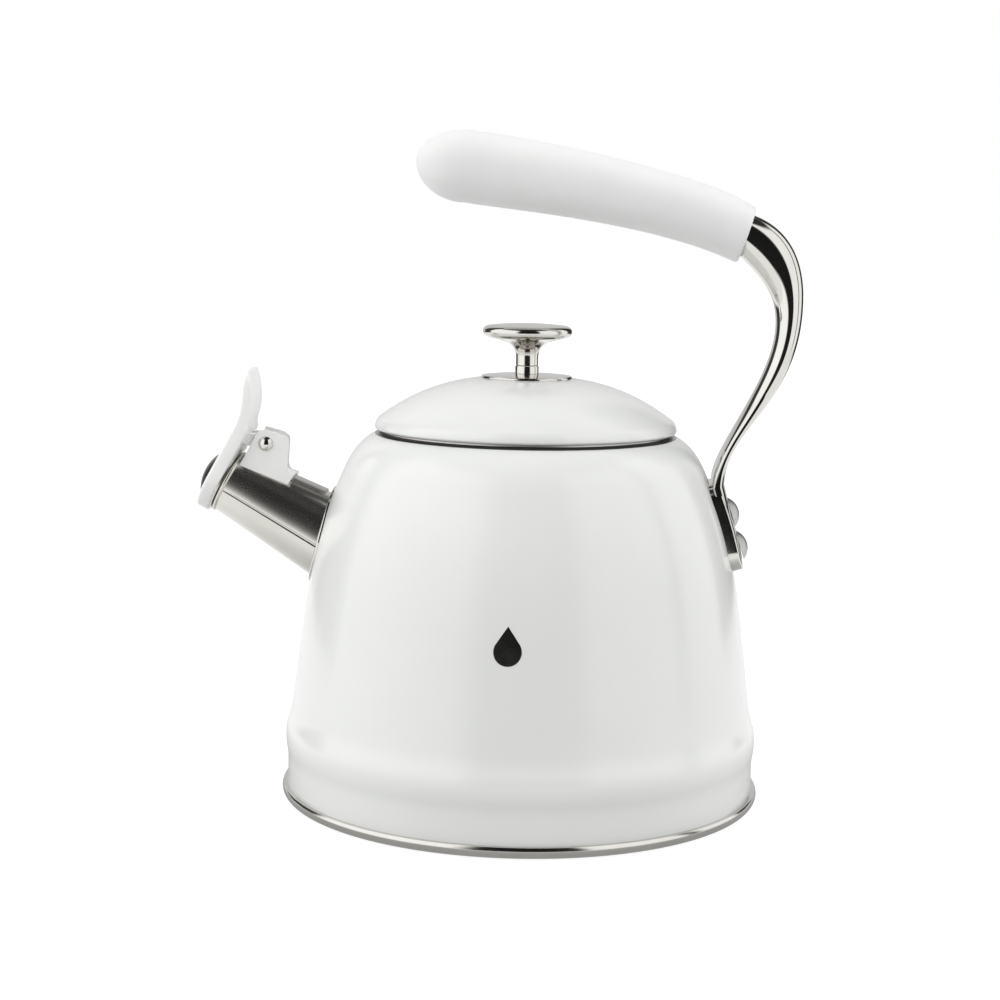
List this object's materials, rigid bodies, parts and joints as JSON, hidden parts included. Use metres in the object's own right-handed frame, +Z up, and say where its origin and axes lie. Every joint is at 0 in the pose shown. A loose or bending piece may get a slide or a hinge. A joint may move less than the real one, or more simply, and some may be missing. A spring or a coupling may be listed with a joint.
{
  "type": "stovetop whistling kettle",
  "caption": "Domed white enamelled stovetop kettle with a steel loop handle on one side, a lift-off lid with a steel knob, and a conical spout closed by a sprung whistle cap.",
  "frame": {"origin": "centre of the flat base, on the surface that the kettle stands on", "axes": "+Z up along the body's axis; -X towards the spout; +X towards the handle's foot; the hinge pin runs along Y"},
  "size_m": [0.2504, 0.2, 0.2757],
  "materials": {
    "enamel": "gloss white vitreous enamel",
    "polished_steel": "mirror polished stainless steel",
    "satin_steel": "satin polished stainless steel",
    "brushed_steel": "spun stainless steel",
    "inner_steel": "plain stainless steel",
    "dark_steel": "dark polished steel",
    "spring_wire": "drawn spring wire",
    "aluminium": "plain aluminium",
    "painted_sheet": "satin white painted sheet",
    "white_plastic": "satin off-white moulded plastic",
    "core_plastic": "moulded nylon",
    "silicone": "matte white silicone",
    "seal_rubber": "dark silicone"
  },
  "bodies": {
    "kettle": {"body_shell": "enamel", "base_pan": "inner_steel", "base_ring": "polished_steel", "heat_disc": "aluminium", "base_cap": "brushed_steel", "spout_tube": "satin_steel", "spout_collar": "polished_steel", "bracket_strip": "satin_steel", "hinge_bracket": "painted_sheet", "hinge_pin": "polished_steel", "pin_cap": "polished_steel", "return_spring": "spring_wire", "handle_strap": "polished_steel", "handle_rivets": "satin_steel", "rivet_washers": "inner_steel", "grip_core": "core_plastic", "grip_sleeve": "silicone", "grip_pin": "inner_steel"},
    "whistle_cap": {"cap_lever": "white_plastic", "cap_plate": "satin_steel", "whistle_cup": "inner_steel", "whistle_dome": "dark_steel"},
    "lid": {"lid_shell": "enamel", "lid_skirt": "inner_steel", "knob_plate": "polished_steel", "knob_collar": "polished_steel", "knob": "polished_steel", "knob_screw": "inner_steel", "knob_washer": "seal_rubber"}
  },
  "joints": [
    {"name": "cap_hinge", "type": "hinge", "parent": "kettle", "child": "whistle_cap", "pos_m": [-0.10757, 0, 0.14573], "axis": [0, 1, 0], "range_deg": [0, 45], "stiffness_Nm_per_rad": 0.1, "springref_deg": -22.92, "deforming": ["return_spring"]},
    {"name": "lid_lift", "type": "slide", "parent": "kettle", "child": "lid", "axis": [0, 0, 1], "range_m": [0, 0.04]}
  ]
}
